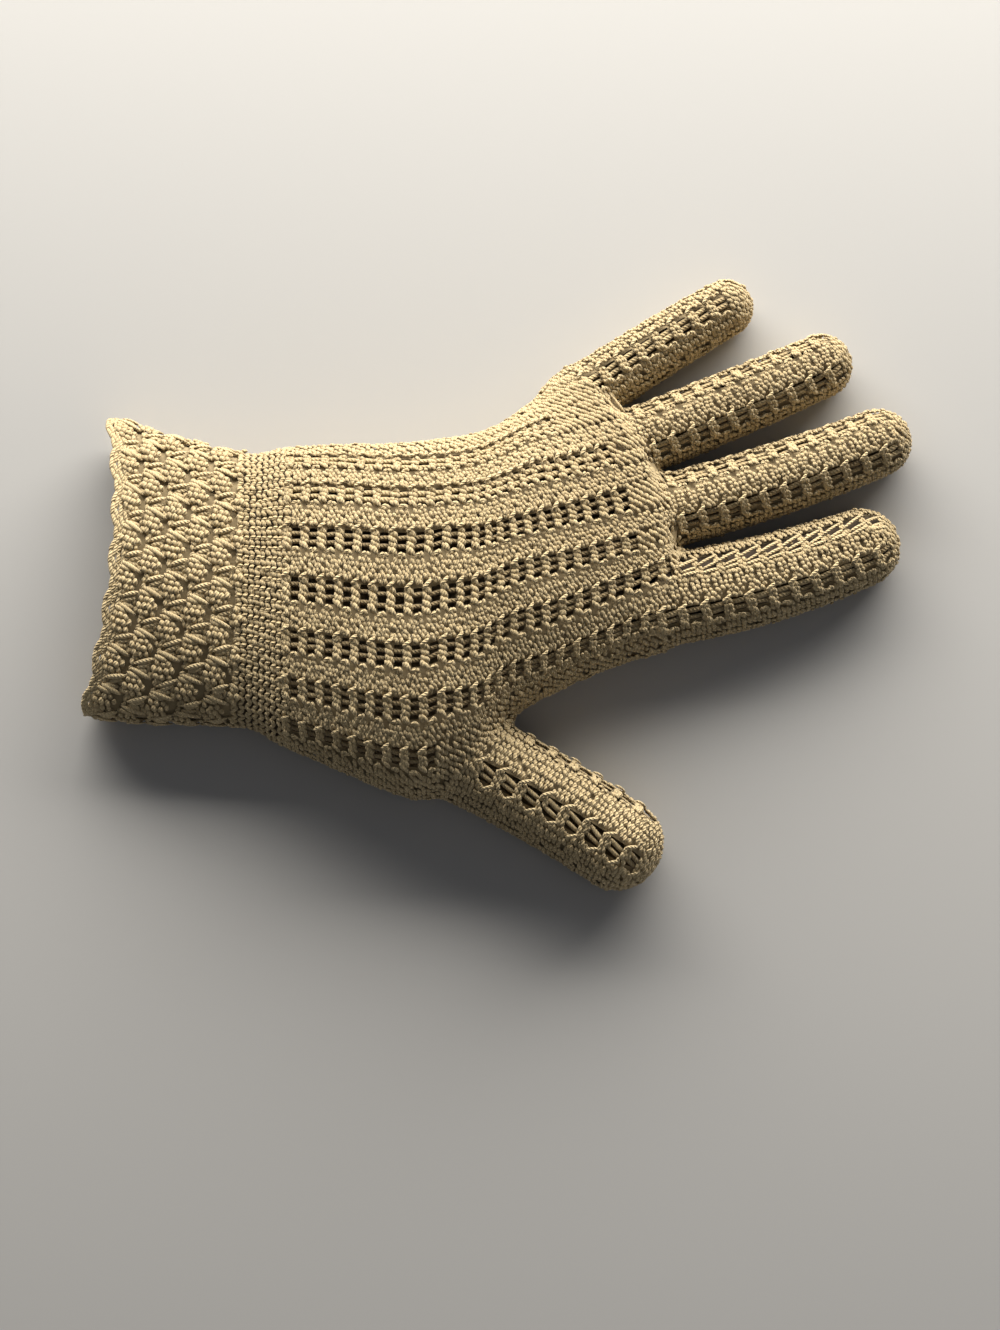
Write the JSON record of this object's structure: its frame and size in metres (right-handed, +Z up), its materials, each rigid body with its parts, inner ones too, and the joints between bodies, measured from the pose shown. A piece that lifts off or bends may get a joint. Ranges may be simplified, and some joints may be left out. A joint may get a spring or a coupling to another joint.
{
  "type": "knitted lace glove",
  "caption": "Hand-knitted cotton lace glove for the left hand, palm down, with a flared honeycomb cuff, a plain wrist band and columns of eyelets down its back.",
  "frame": {"origin": "bottom centre of the bounding box, on the surface that the glove lies on", "axes": "+X along the middle finger to its tip, +Y to the little finger side, +Z up out of the back of the hand"},
  "size_m": [0.2314, 0.1622, 0.034],
  "materials": {
    "cotton_knit": "matt unbleached cotton yarn, hand knitted"
  },
  "bodies": {
    "root": {"cuff_edge": "cotton_knit", "cuff": "cotton_knit", "wrist_band": "cotton_knit", "hand": "cotton_knit", "thumb": "cotton_knit", "index_finger": "cotton_knit", "middle_finger": "cotton_knit", "ring_finger": "cotton_knit", "little_finger": "cotton_knit"}
  },
  "joints": []
}
